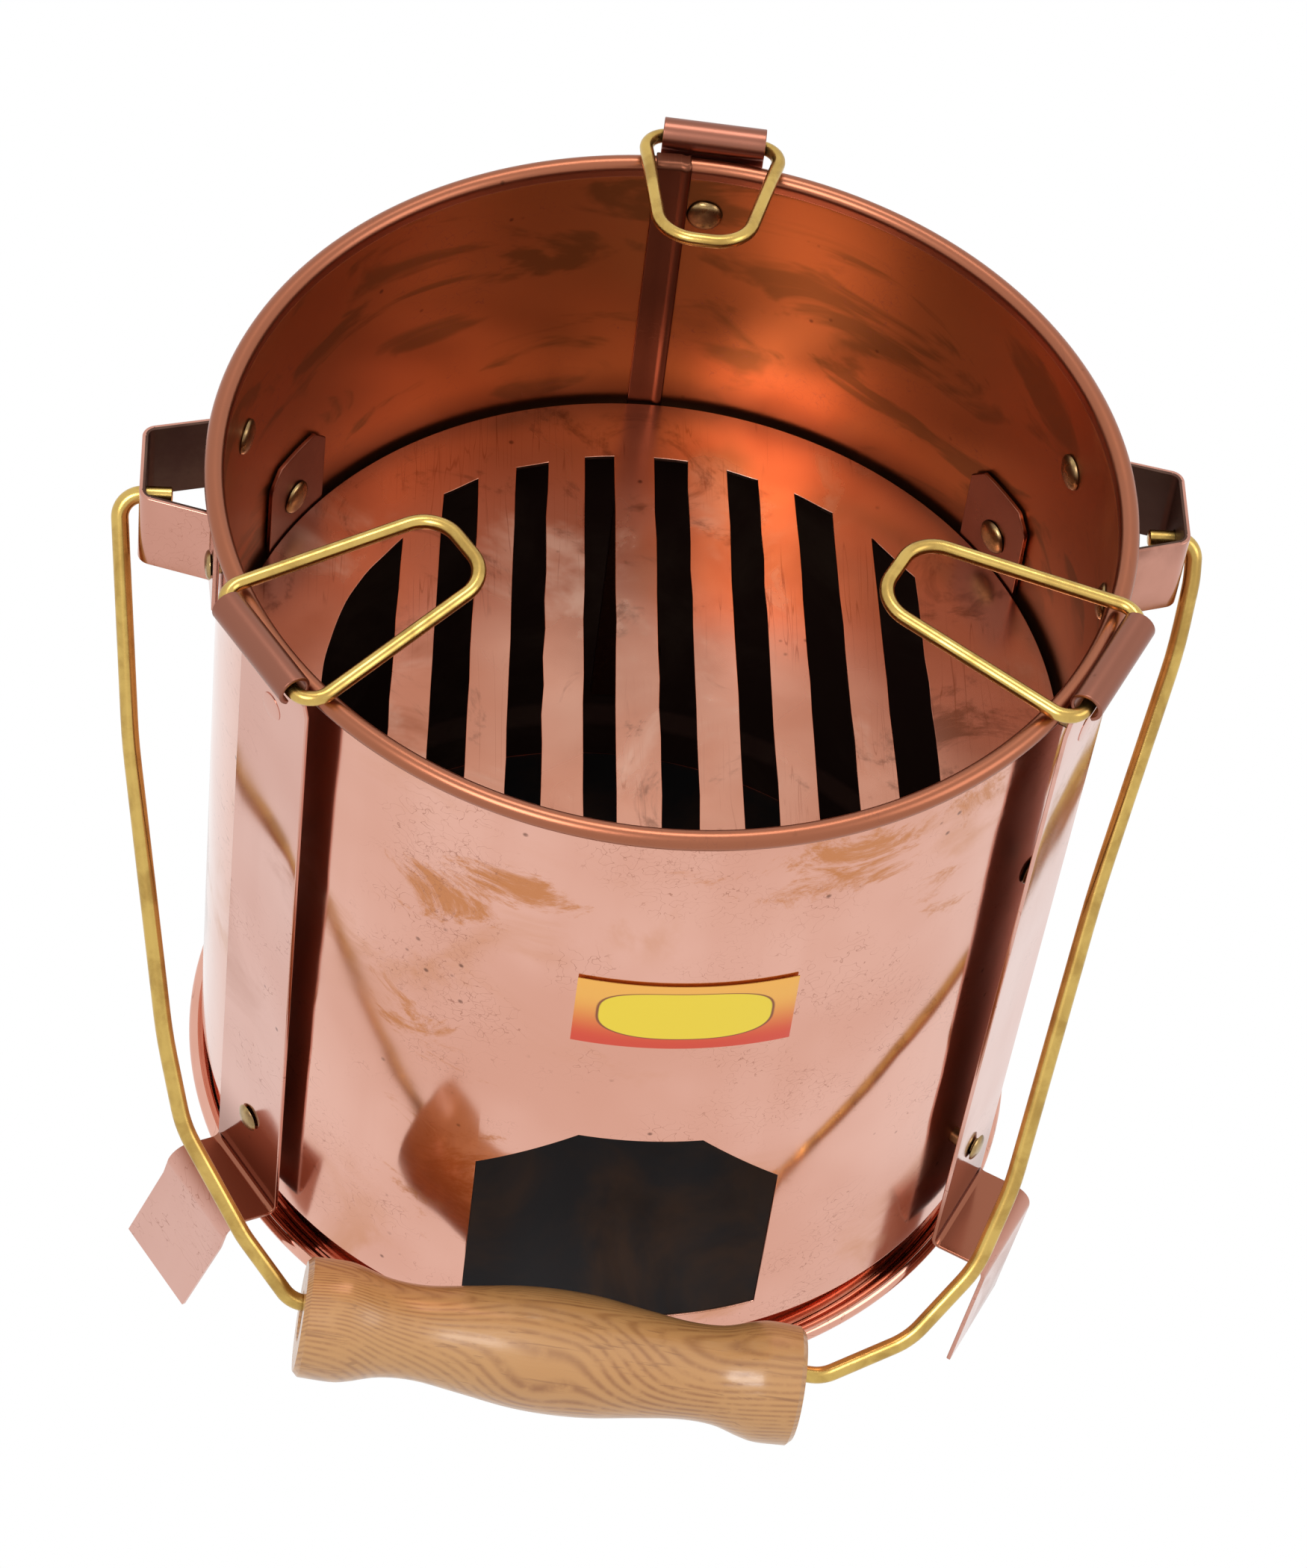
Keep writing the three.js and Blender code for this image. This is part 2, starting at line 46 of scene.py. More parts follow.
WALL_TOP_R, WALL_FOOT_R = 97.9, 96.9
CREASE_Z, CREASE_BEND = 38.5, 1.8
NECK_R, NECK_TOP_Z, NECK_FOOT_Z = 92.8, 35.8, 24.2
BEAD_R, BEAD_Z = 1.8, 225.3
BEAD_ARC, BEAD_FOOT_Z = (180, -98), 223.6
RIM_WIRE_R = 1.1
SEAM_AZ, SEAM_T = 88.55, 0.95
SEAM_LINE = [(96.35, 43, 0), (96.9, 218, 8), (97.1, 227.7, 1.2), (100.9, 227.7, 0)]
SEAM_SECTION = [(-3.3, 0), (-2.9, 0.3), (-2.3, 0.5), (-1.6, 0.3), (-1, 0), (1.8, 0), (4.7, 0)]  # along, inwards
PAN_T, PAN_FLOOR_Z, PAN_FLOOR_R, PAN_BEND = 0.9, 23.45, 95.4, 2.4
PAN_LIP_R, PAN_LIP_Z, PAN_ROLL_R = 98.1, 26.8, 1.5
OPENING = [(-34.4, 47.5), (33.3, 47.5), (33.3, 98.2), (14.5, 117), (-13, 117.5), (-34.4, 98.4)]
GRATE_R, GRATE_T, GRATE_TOP_Z = 95.4, 1.0, 150.8
SLOT_END_R, SLOT_D_R = 78, 73.5
SLOT_EDGES = [(-90, -54), (-45.3, -37.3), (-28.6, -21.3), (-12.4, -5.5), (4, 11.7), (21.1, 28.4),
              (36.9, 45.4), (54, 63)]
SLOT_FAN, SLOT_FAN_X = 0.0008, 8  # the slots spread towards the front, away from the line x = SLOT_FAN_X
SLOT_SHAKE = 0.35
TAB_R, TAB_T, TAB_TOP_Z, TAB_REACH, TAB_RIVET_Z = 96.25, 1.0, 175, 85, 160
TAB_HALF, TAB_CORNER, TAB_CORNER_Z, TAB_GAP = 11, 4, 165, 0.3
TABS = {"back_left": 147.6, "back_right": 31, "front_left": -147.6, "front_right": -31}
STRAP_T, STRAP_TOP_R, STRAP_FOOT_R = 1.0, 102.8, 99.9
FOOT_BEND_Z, SHOULDER_Z, SHOULDER_H = 34, 222, 4.5
FOOT_AIM_Z, FOOT_END_Z = -1.5, 0.12  # the foot aims at a point below the floor and ends just over it
BARREL_R, BARREL_Z, BARREL_ROLL, BARREL_END = 104.9, 229.9, 3.2, -62
HINGE_Z = 229.2
LEGS = {
    "left": dict(az=-147.3, width=25.6, barrel=27.4, shift=(3, -1), bend=37, knee=(113.4, 41), tip=118.5,
                 swing=-9.5),
    "right": dict(az=-29, width=25.6, barrel=27.4, shift=(-4, -6.5), bend=36, knee=(114.2, 36), tip=111,
                  swing=-3.5),
    "back": dict(az=84, width=23.6, barrel=23.6, shift=(0, 0), bend=34, knee=(113, 34), tip=114, swing=0),
}
LEG_RIVET_Z = {"top": 213, "bottom": 61}
LOOP_WIRE_R, LOOP_RISE, LOOP_BEND, LOOP_MEET = 1.6, 5, 5, 0.8
LOOPS = {
    "left": dict(base=18.6, tip=10.3, length=51, lean=-1, corner=8.5),
    "right": dict(base=18.6, tip=10.3, length=50.5, lean=-3.4, corner=8.5),
    "back": dict(base=16.2, tip=9.4, length=36, lean=0, corner=9),
}
BRACKET_T, BRACKET_LOW, BRACKET_TOP, BRACKET_GAP = 1.4, 193, 214, 0.45
BRACKET_FACE, BRACKET_MOUTH, BRACKET_FLANGE, BRACKET_OUT = 10, 14.5, 9.5, 115
BRACKET_BEND, BRACKET_MOUTH_BEND = 2.6, 1.3
BRACKET_RIVET_AT = 0.44  # share of the flange from its free end
BRACKET_Y = {"left": 9.5, "right": 11}
BRACKET_MIDDLE_R, BRACKET_MIDDLE_Y, BRACKET_HOLLOW_R = 106, 10.2, (100.5, 101.0)
PIVOT_Z, PIVOT_FIELD = 203.5, 4  # the hole sits in a square field of the bracket's face
BAIL_HOLE_R, BAIL_WIRE_R, BAIL_SWING = 2.6, 1.95, 39
BAIL = [(-108.5, 0, 0), (-120.35, 0, 5), (-115.8, 55, 150), (-105.7, 122, 120), (-100.7, 143, 30),
        (-86.2, 168, 26), (-74.8, 183, 7), (47.4, 197, 9), (66.9, 187.5, 18), (81.2, 170, 26),
        (88.2, 150.5, 60), (102.5, 81, 400), (116.7, 25, 120), (119.05, 9, 30), (119.05, 0, 5), (108.5, 0, 0)]
BAIL_MIDDLE = BAIL[6:8]  # the nearly straight stretch that carries the grip
GRIP_CENTRE, GRIP_BORE_R, GRIP_BORE_EDGE, GRIP_HANG = -15.4, 5.5, 0.5, 3.2
GRIP_PROFILE = [(-57.5, 12.6), (-56.3, 13.74), (-49, 13.84), (-45, 13.2), (-38, 11.3), (-30, 10.9),
                (-20, 12.2), (-9, 13.8), (0, 14.3), (10, 13.9), (21, 12.4), (31, 11.2), (39, 11.4),
                (45.5, 13.2), (49.5, 13.94), (56.3, 13.74), (57.5, 12.6)]
RIVET_HEAD_R, RIVET_HEAD_H = 4.2, 1.5
RIVET_TAIL_R, RIVET_TAIL_H, RIVET_FLUSH_H = 3.3, 1.1, 0.12
RIVET_SHANK_R, RIVET_GAP, RIVET_STEPS = 2, 0.3, 36
RIVET_DENTS = 0.12
LABEL_AZ, LABEL_Z, LABEL_T, LABEL_IN = (-100.4, -72.4), (152.7, 174.3), 0.25, 0.35

EZ = Vector((0, 0, 1))


def lerp(a, b, s):
    return a + (b - a) * s


def radial(az):
    return Vector((math.cos(math.radians(az)), math.sin(math.radians(az)), 0))


def tangent(az):
    return Vector((-math.sin(math.radians(az)), math.cos(math.radians(az)), 0))


def wall_r(z):
    return lerp(WALL_FOOT_R, WALL_TOP_R, (z - CREASE_Z) / (BEAD_Z - CREASE_Z))


def strap_r(z):
    return lerp(STRAP_FOOT_R, STRAP_TOP_R, (z - FOOT_BEND_Z) / (SHOULDER_Z - FOOT_BEND_Z))


def rgb(r, g, b):
    return (r, g, b, 1.0)


# ---- marks and colours shared by the sheets and the wood ----------------------------------------
SCRATCHES = [((0.3, 0.5, 0.9), 420), ((1.1, -0.4, 0.2), 360), ((-0.6, 0.2, 1.9), 500)]  # turn, size
SCRATCH, SPECK = rgb(0.28, 0.1, 0.06), rgb(0.1, 0.035, 0.02)
# STRAP_BACK_SHADE: painted shade, a dull brown on the strap's hidden side
BROWN_MARK, STRAP_BACK_SHADE = rgb(0.54, 0.2, 0.065), rgb(0.45, 0.19, 0.11)
# DARK_DIRT_AND_SHADE and PALE_DIRT_AND_SHADE: dark fill, partly soot and dirt, partly painted shade
DARK_DIRT_AND_SHADE, PALE_DIRT_AND_SHADE = rgb(0.06, 0.03, 0.023), rgb(0.1, 0.062, 0.045)
# GRATE_SHADE: painted shade on the bowl's wall just above the grate
GRATE_SHADE, GRATE_SHADE_Z = rgb(0.12, 0.045, 0.025), (151, 163)
WOOD_PALE, WOOD_RING = rgb(0.49, 0.24, 0.08), rgb(0.31, 0.125, 0.036)
WOOD_PATCH, WOOD_FIBRE = rgb(0.56, 0.31, 0.125), rgb(0.24, 0.1, 0.035)


# ---- shader building ----------------------------------------------------------------------------
class Tree:
    """A few words for building a node tree."""

    def __init__(self, tree):
        self.tree = tree

    def node(self, kind, *values, **settings):
        n = self.tree.nodes.new("ShaderNode" + kind)
        for key, value in settings.items():
            setattr(n, key, value)
        for i, value in enumerate(values):
            self.put(n.inputs[i], value)
        return n

    def put(self, socket, value):
        if isinstance(value, bpy.types.NodeSocket):
            self.tree.links.new(value, socket)
        elif value is not None:
            socket.default_value = value

    def math(self, operation, a, b=None):
        return self.node("Math", a, b, operation=operation).outputs[0]

    def add(self, a, b):
        return self.math("ADD", a, b)

    def sub(self, a, b):
        return self.math("SUBTRACT", a, b)

    def mul(self, a, b):
        return self.math("MULTIPLY", a, b)

    def div(self, a, b):
        return self.math("DIVIDE", a, b)

    def less(self, a, b):
        return self.math("LESS_THAN", a, b)

    def more(self, a, b):
        return self.math("GREATER_THAN", a, b)

    def length(self, a, b):
        return self.math("SQRT", self.add(self.math("POWER", a, 2.0), self.math("POWER", b, 2.0)))

    def step(self, value, low, high, out_low=0.0, out_high=1.0):
        n = self.node("MapRange", value, low, high, out_low, out_high, interpolation_type="SMOOTHSTEP")
        return n.outputs[0]

    def mix(self, factor, a, b):
        n = self.node("Mix", data_type="RGBA")
        for socket, value in ((n.inputs[0], factor), (n.inputs[6], a), (n.inputs[7], b)):
            self.put(socket, value)
        return n.outputs[2]

    def split(self, vector):
        return self.node("SeparateXYZ", vector).outputs

    def place(self, scale=(1, 1, 1), rotation=(0, 0, 0)):
        coordinates = self.node("TexCoord").outputs["Object"]
        return self.node("Mapping", coordinates, None, rotation, scale).outputs[0]

    def noise(self, scale, detail=3.0, roughness=0.5, distortion=0.0, vector=None):
        n = self.node("TexNoise")
        values = dict(Vector=vector or self.place(), Scale=scale, Detail=detail, Roughness=roughness,
                      Distortion=distortion)
        for key, value in values.items():
            self.put(n.inputs[key], value)
        return n.outputs[0]

    def bump(self, strength, distance, height):
        n = self.node("Bump", strength, distance)
        self.put(n.inputs["Height"], height)
        return n.outputs[0]


def group(name, build):
    """A node group with one number out for each name and value that build gives."""
    tree = bpy.data.node_groups.new(name, "ShaderNodeTree")
    t = Tree(tree)
    values = build(t)
    for output in values:
        tree.interface.new_socket(output, in_out="OUTPUT", socket_type="NodeSocketFloat")
    out = tree.nodes.new("NodeGroupOutput")
    for output, value in values.items():
        t.put(out.inputs[output], value)
    return tree


def sheet_wear(t):
    """Masks of a used, hand-worked sheet, and the height of its waves."""
    scratches = None
    for turn, scale in SCRATCHES:
        line = t.noise(scale, 1, 0.4, 0.0, t.place((1, 0.035, 1), turn))
        line = t.step(t.math("ABSOLUTE", t.sub(line, 0.5)), 0.0, 0.012, 1.0, 0.0)
        line = t.mul(line, t.step(t.noise(30, 2, 0.5, 0.0, t.place((1, 1, 1), turn)), 0.54, 0.66))
        scratches = line if scratches is None else t.math("MAXIMUM", scratches, line)
    dots = t.node("TexVoronoi", t.place(), None, 190, voronoi_dimensions="3D")
    return {
        "Clouds": t.noise(14, 3, 0.55),
        "Streaks": t.step(t.noise(60, 3, 0.55, 0.2, t.place((1, 1, 0.08))), 0.42, 0.72),
        "Stains": t.mul(t.step(t.noise(24, 5, 0.6, 0.9), 0.5, 0.7), t.step(t.noise(11, 2), 0.46, 0.62)),
        "Scratches": scratches,
        "Specks": t.mul(t.step(dots.outputs["Distance"], 0.05, 0.16, 1.0, 0.0),
                        t.step(t.noise(46, 2), 0.58, 0.66)),
        "Height": t.add(t.noise(11, 1.5, 0.4), t.mul(t.noise(55, 1, 0.4), 0.05)),
    }


def round_axis(t):
    """Where a point is round the body's axis, in millimetres."""
    x, y, z = t.split(t.place())
    radius = t.length(t.sub(t.mul(x, 1000), AXIS.x), t.sub(t.mul(y, 1000), AXIS.y))
    return {"Radius": radius, "Height": t.mul(z, 1000)}


WEAR = group("sheet_wear", sheet_wear)
ROUND_AXIS = group("round_axis", round_axis)


def material(name):
    m = bpy.data.materials.new(name)
    m.use_nodes = True
    m.node_tree.nodes.clear()
    t = Tree(m.node_tree)
    shader = t.node("BsdfPrincipled")
    t.put(t.node("OutputMaterial").inputs[0], shader.outputs[0])
    return m, t, shader


def use(t, tree):
    n = t.tree.nodes.new("ShaderNodeGroup")
    n.node_tree = tree
    return n.outputs


# ---- marks on the copper ------------------------------------------------------------------------
def turned_inwards(t, x, y, middle_x, middle_y):
    """Below nought where a surface faces the upright line through the middle, in metres."""
    nx, ny, _ = t.split(t.node("TexCoord").outputs["Normal"])
    return t.add(t.mul(nx, t.sub(x, middle_x)), t.mul(ny, t.sub(y, middle_y)))


def brown_marks(t, where, marks, color, roughness):
    """Brushed brown marks on the front of the wall. marks: centre and half size along x and z."""
    x, y, z = t.split(t.place((1000, 1000, 1000)))
    front = t.mul(t.less(y, 0.0), t.more(where["Radius"], WALL_TOP_R - 0.6))
    brush = t.noise(40, 8, 0.78, 0.7, t.place((1, 1, 1.8), (0, 0.5, 0)))
    for at_x, at_z, half_x, half_z in marks:
        far = t.length(t.div(t.sub(x, at_x), half_x), t.div(t.sub(z, at_z), half_z))
        mark = t.mul(t.step(t.sub(brush, t.mul(far, 0.16)), 0.38, 0.53, 0.0, 0.9), front)
        color = t.mix(mark, color, BROWN_MARK)
        roughness = t.add(roughness, t.mul(mark, 0.12))
    return color, roughness


def strap_back_shade_and_bend(t, where, bend, color, roughness):
    """The strap's hidden side is painted a dull brown shade, so the gap between strap and wall reads brown;
    round the foot's bend it takes the colour bend.
    """
    x, y, _ = t.split(t.place())
    facing = turned_inwards(t, x, y, AXIS.x / 1000, AXIS.y / 1000)
    back = t.mul(t.less(facing, -0.02), t.less(where["Height"], SHOULDER_Z + 1))
    color = t.mix(t.mul(back, 0.8), color, STRAP_BACK_SHADE)
    roughness = t.add(roughness, t.mul(back, 0.4))
    low = t.step(where["Height"], 43, 66, 0.95, 0.0)
    near = t.step(where["Radius"], 110, 115, 1.0, 0.1)
    return t.mix(t.mul(low, near), color, bend), roughness


def ash_marks(t, pale, dark, color, roughness):
    pale_marks = t.step(t.noise(26, 5, 0.62, 0.6), 0.52, 0.7, 0.0, 0.55)
    dark_marks = t.step(t.noise(33, 6, 0.7, 1.2, t.place((1, 1, 1), (0.4, 0.2, 0.9))), 0.55, 0.68, 0.0, 0.7)
    color = t.mix(dark_marks, t.mix(pale_marks, color, pale), dark)
    return color, t.add(roughness, t.mul(pale_marks, 0.2))


def bowl_side(t, where):
    """One on the side of the wall that faces the bowl, up to the bead."""
    lean = (WALL_TOP_R - WALL_FOOT_R) / (BEAD_Z - CREASE_Z)
    slope = (CREASE_Z - NECK_TOP_Z) / (WALL_FOOT_R - NECK_R)
    wall_middle = t.add(t.mul(where["Height"], lean), WALL_FOOT_R - lean * CREASE_Z)
    crease_middle = t.add(t.mul(t.sub(where["Radius"], NECK_R), slope), NECK_TOP_Z)
    above = t.math("MAXIMUM", t.more(where["Height"], crease_middle), t.less(where["Radius"], NECK_R))
    inside = t.mul(t.less(where["Radius"], wall_middle), t.less(where["Height"], BEAD_FOOT_Z))
    return t.mul(inside, above)


def bowl_tint(t, where, first, second, smudge):
    """Heat colours of the bowl, with painted shade on the wall just above the grate."""
    tint = t.mix(t.step(t.noise(8, 3, 0.5, 0.6, t.place((1, 1, 1.5))), 0.3, 0.7), first, second)
    smudges = t.step(t.noise(19, 4, 0.55, 1.4, t.place((1, 1, 2.2))), 0.51, 0.62, 0.0, 0.75)
    tint = t.mix(smudges, tint, smudge)
    # painted shade: the wall darkens towards the grate, where the two meet
    return t.mix(t.step(where["Height"], *GRATE_SHADE_Z, 0.7, 0.0), tint, GRATE_SHADE)


def bracket_hollow(t, where):
    """The side of either bracket that faces the wall, which gets tarnish and painted shade."""
    x, y, _ = t.split(t.place())
    middle_x = t.add(t.mul(t.math("SIGN", x), BRACKET_MIDDLE_R / 1000), AXIS.x / 1000)
    facing = turned_inwards(t, x, y, middle_x, (AXIS.y + BRACKET_MIDDLE_Y) / 1000)
    return t.mul(t.less(facing, 0.0), t.step(where["Radius"], *BRACKET_HOLLOW_R, 0.0, 0.97))


# ---- materials ----------------------------------------------------------------------------------
def sheet_metal(name, pale, deep, stain, rough=(0.06, 0.13), wave=0.25, dirt=0.6, inner=None, soot_and_shade_below=None,
                dark_above=None, hollow=False, floor=None, marks=None, bend=None, ash=None):
    """Copper sheet.

    inner: three colours of the bowl's side of the wall; sooty: the height below which that side is black with
    soot and painted shade; dark_above: height and colour of the rolled edge; hollow: tarnish and painted shade
    inside a bracket; floor: colour inside the pan; marks, bend, ash: see brown_marks, strap_back_shade_and_bend
    and ash_marks.
    """
    m, t, shader = material(name)
    wear = use(t, WEAR)
    where = use(t, ROUND_AXIS)
    color = t.mix(t.step(wear["Clouds"], 0.35, 0.7), pale, deep)
    color = t.mix(t.mul(wear["Streaks"], 0.4), color, deep)
    color = t.mix(t.mul(wear["Stains"], dirt), color, stain)
    roughness = t.add(t.step(wear["Clouds"], 0.3, 0.7, *rough), t.mul(wear["Stains"], 0.12))
    if marks:
        color, roughness = brown_marks(t, where, marks, color, roughness)
    # painted shade on the strap's hidden side, and the colour round the foot's bend
    if bend:
        color, roughness = strap_back_shade_and_bend(t, where, bend, color, roughness)
    if ash:
        color, roughness = ash_marks(t, *ash, color, roughness)
    if dark_above:
        low, edge_color = dark_above
        edge = t.step(where["Height"], low, low + 1.5)
        color = t.mix(t.mul(edge, 0.94), color, edge_color)
        roughness = t.add(roughness, t.mul(edge, 0.2))
    black = None
    # the bowl's side: heat colours, and black below the grate, soot and painted shade of the closed chamber
    if inner:
        inside = bowl_side(t, where)
        color = t.mix(inside, color, bowl_tint(t, where, *inner))
        roughness = t.add(roughness, t.mul(inside, 0.25))
        black = t.mul(inside, t.step(where["Height"], soot_and_shade_below, soot_and_shade_below + 8, 1.0, 0.0))
    if floor:
        black = t.mul(t.step(where["Radius"], NECK_R - 0.4, NECK_R + 0.2, 1.0, 0.0),
                      t.more(where["Height"], PAN_FLOOR_Z - 0.05))
    # tarnish and painted shade inside the brackets
    if hollow:
        black = bracket_hollow(t, where)
    color = t.mix(t.mul(wear["Scratches"], 0.6), color, SCRATCH)
    color = t.mix(t.mul(wear["Specks"], 0.75), color, SPECK)
    # the black fill: the pan floor's own dark metal, soot and painted shade below the grate, tarnish and
    # painted shade inside the brackets
    if black:
        dirt_and_shade = t.mix(t.step(t.noise(24, 5, 0.6, 0.5), 0.42, 0.7), floor or DARK_DIRT_AND_SHADE, PALE_DIRT_AND_SHADE)
        color = t.mix(black, color, dirt_and_shade)
        roughness = t.add(roughness, t.mul(black, 0.45))
    shader.inputs["Metallic"].default_value = 1.0
    t.put(shader.inputs["Base Color"], color)
    t.put(shader.inputs["Roughness"], roughness)
    t.put(shader.inputs["Normal"], t.bump(wave, 0.01, wear["Height"]))
    return m


def plain_metal(name, light, dark, rough, grain=120):
    m, t, shader = material(name)
    cloud = t.noise(grain, 4, 0.6, 0.4)
    fine = t.noise(grain * 6, 2, 0.5)
    t.put(shader.inputs["Base Color"], t.mix(t.step(cloud, 0.35, 0.7), light, dark))
    t.put(shader.inputs["Roughness"], t.step(cloud, 0.3, 0.7, rough, rough + 0.12))
    shader.inputs["Metallic"].default_value = 1.0
    t.put(shader.inputs["Normal"], t.bump(0.12, 0.0003, t.add(cloud, t.mul(fine, 0.3))))
    return m


def wood_material(centre, turn):
    """Pale wood with growth rings round a line beside the grip, fine dark fibres and a satin varnish."""
    m, t, shader = material("wood")
    coordinates = t.node("TexCoord").outputs["Object"]
    local = t.node("Mapping", coordinates, centre, turn, vector_type="TEXTURE").outputs[0]
    bend = t.noise(15, 1.0, 0.4, 0.2, t.node("Mapping", local, None, None, (0.8, 1, 1)).outputs[0])
    x, y, z = t.split(local)
    ring = t.length(t.add(y, 0.004), t.add(z, t.add(0.016, t.mul(x, 0.06))))
    ring = t.add(t.mul(ring, 1900), t.mul(bend, 105))
    band = t.mul(t.step(t.math("PINGPONG", ring, 1.0), 0.2, 1.0),
                 t.step(t.noise(210, 3, 0.6, 0.0, local), 0.25, 0.6))
    fibre = t.noise(900, 3, 0.6, 0.0, t.node("Mapping", local, None, None, (0.03, 1, 1)).outputs[0])
    patch = t.noise(30, 2, 0.5, 0.0, local)
    color = t.mix(band, WOOD_PALE, WOOD_RING)
    color = t.mix(t.step(patch, 0.35, 0.7, 0.0, 0.35), color, WOOD_PATCH)
    color = t.mix(t.step(fibre, 0.58, 0.72, 0.0, 0.55), color, WOOD_FIBRE)
    t.put(shader.inputs["Base Color"], color)
    t.put(shader.inputs["Roughness"], t.step(fibre, 0.3, 0.7, 0.3, 0.42))
    shader.inputs["Coat Weight"].default_value = 0.5
    shader.inputs["Coat Roughness"].default_value = 0.18
    t.put(shader.inputs["Normal"], t.bump(0.2, 0.0004, t.add(fibre, t.mul(band, -0.4))))
    return m


def label_material():
    """Plain sticker: orange to red ground, darker thin outline and a bare yellow panel."""
    m, t, shader = material("sticker")
    x, y, z = t.split(t.place((1000, 1000, 1000)))
    (az0, az1), (z0, z1) = LABEL_AZ, LABEL_Z
    angle = t.mul(t.math("ARCTAN2", t.sub(x, AXIS.x), t.sub(AXIS.y, y)), 180 / math.pi)
    u = t.div(t.sub(angle, (az0 + az1) / 2 + 90), (az1 - az0) / 2)
    v = t.div(t.sub(z, (z0 + z1) / 2), (z1 - z0) / 2)
    ground = t.mix(t.step(v, -0.9, 0.6), rgb(0.66, 0.05, 0.015), rgb(0.85, 0.42, 0.07))
    reach = t.add(t.math("POWER", t.math("ABSOLUTE", t.div(u, 0.8)), 3.0),
                  t.math("POWER", t.math("ABSOLUTE", t.div(t.sub(v, 0.04), 0.74)), 3.0))
    color = t.mix(t.step(reach, 0.98, 1.06, 1.0, 0.0), ground, rgb(0.22, 0.05, 0.01))
    color = t.mix(t.step(reach, 0.9, 0.96, 1.0, 0.0), color, rgb(0.83, 0.62, 0.03))
    t.put(shader.inputs["Base Color"], color)
    shader.inputs["Roughness"].default_value = 0.42
    return m


COPPER_OUT = dict(pale=rgb(0.76, 0.42, 0.33), deep=rgb(0.68, 0.34, 0.25), stain=rgb(0.55, 0.22, 0.08))
FRONT_MARKS = [(43, 214, 34, 7), (40, 203, 22, 7), (-46, 188, 14, 12), (-30, 199, 12, 6),
               (-38, 88, 16, 26), (-52, 140, 12, 10), (60, 184, 10, 14)]
MATERIALS = {
    "wall": sheet_metal("wall_copper", **COPPER_OUT, soot_and_shade_below=142, marks=FRONT_MARKS,
                        dark_above=(222.6, rgb(0.32, 0.105, 0.052)),
                        inner=(rgb(0.44, 0.155, 0.05), rgb(0.47, 0.15, 0.055), rgb(0.2, 0.09, 0.03))),
    "seam": sheet_metal("seam_copper", rgb(0.19, 0.065, 0.035), rgb(0.12, 0.042, 0.024),
                        rgb(0.06, 0.022, 0.014), rough=(0.3, 0.4)),
    "strap": sheet_metal("strap_copper", rgb(0.7, 0.4, 0.33), rgb(0.62, 0.32, 0.25), rgb(0.4, 0.15, 0.08),
                         rough=(0.07, 0.14), wave=0.3, dirt=0.5, bend=rgb(0.3, 0.1, 0.055),
                         dark_above=(224.5, rgb(0.26, 0.095, 0.06))),
    "bracket": sheet_metal("bracket_copper", rgb(0.62, 0.31, 0.24), rgb(0.5, 0.23, 0.165),
                           rgb(0.18, 0.065, 0.04), rough=(0.1, 0.2), dirt=0.9, hollow=True),
    "grate": sheet_metal("grate_copper", rgb(0.62, 0.32, 0.23), rgb(0.46, 0.19, 0.12),
                         rgb(0.24, 0.08, 0.04), rough=(0.2, 0.3), wave=0.35, dirt=0.8,
                         ash=(rgb(0.62, 0.45, 0.36), rgb(0.2, 0.09, 0.06))),
    "tab": sheet_metal("tab_copper", rgb(0.27, 0.1, 0.062), rgb(0.19, 0.065, 0.042),
                       rgb(0.1, 0.036, 0.022), rough=(0.24, 0.36)),
    "pan": sheet_metal("pan_copper", **COPPER_OUT, floor=rgb(0.05, 0.048, 0.05)),
    "wire": plain_metal("brass_wire", rgb(0.62, 0.42, 0.12), rgb(0.42, 0.26, 0.07), 0.2),
    "rivet": plain_metal("rivet_brass", rgb(0.42, 0.28, 0.12), rgb(0.2, 0.12, 0.06), 0.22, grain=260),
    "steel": plain_metal("rim_steel", rgb(0.4, 0.38, 0.36), rgb(0.3, 0.28, 0.26), 0.45),
    "sticker": label_material(),
}


# ---- mesh building ------------------------------------------------------------------------------
def piece(name, bm, look, body, *nodes, sheet=0.0, bevel=0.0, angle=40):
    """Writes the mesh, in the row frame and in metres, as one piece on a body in place of its CAD nodes."""
    bmesh.ops.remove_doubles(bm, verts=bm.verts, dist=0.004)
    bmesh.ops.recalc_face_normals(bm, faces=bm.faces)
    bmesh.ops.translate(bm, verts=bm.verts, vec=AXIS)
    bmesh.ops.scale(bm, verts=bm.verts, vec=(0.001, 0.001, 0.001))
    mesh = bpy.data.meshes.new(name)
    bm.to_mesh(mesh)
    bm.free()
    mesh.shade_smooth()
    mesh.set_sharp_from_angle(angle=math.radians(angle))
    mesh.materials.append(MATERIALS[look])
    obj = bpy.data.objects.new(name, mesh)
    bpy.context.scene.collection.objects.link(obj)
    if sheet:
        m = obj.modifiers.new("sheet", "SOLIDIFY")
        m.thickness, m.offset, m.use_even_offset = sheet / 1000, 0, True
    if bevel:
        m = obj.modifiers.new("edge", "BEVEL")
        m.width, m.segments, m.limit_method, m.angle_limit = bevel / 1000, 2, "ANGLE", math.radians(50)
    if sheet or bevel:
        obj.modifiers.new("normals", "WEIGHTED_NORMAL").keep_sharp = True
    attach(obj, body)
    if nodes:
        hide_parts(*nodes)


def grid(rows, close_rows=False, close_columns=False):
    bm = bmesh.new()
    made = [[bm.verts.new(p) for p in row] for row in rows]
    for i in range(len(made) - (0 if close_rows else 1)):
        a, b = made[i], made[(i + 1) % len(made)]
        for j in range(len(a) - (0 if close_columns else 1)):
            k = (j + 1) % len(a)
            bm.faces.new((a[j], b[j], b[k], a[k]))
    return bm


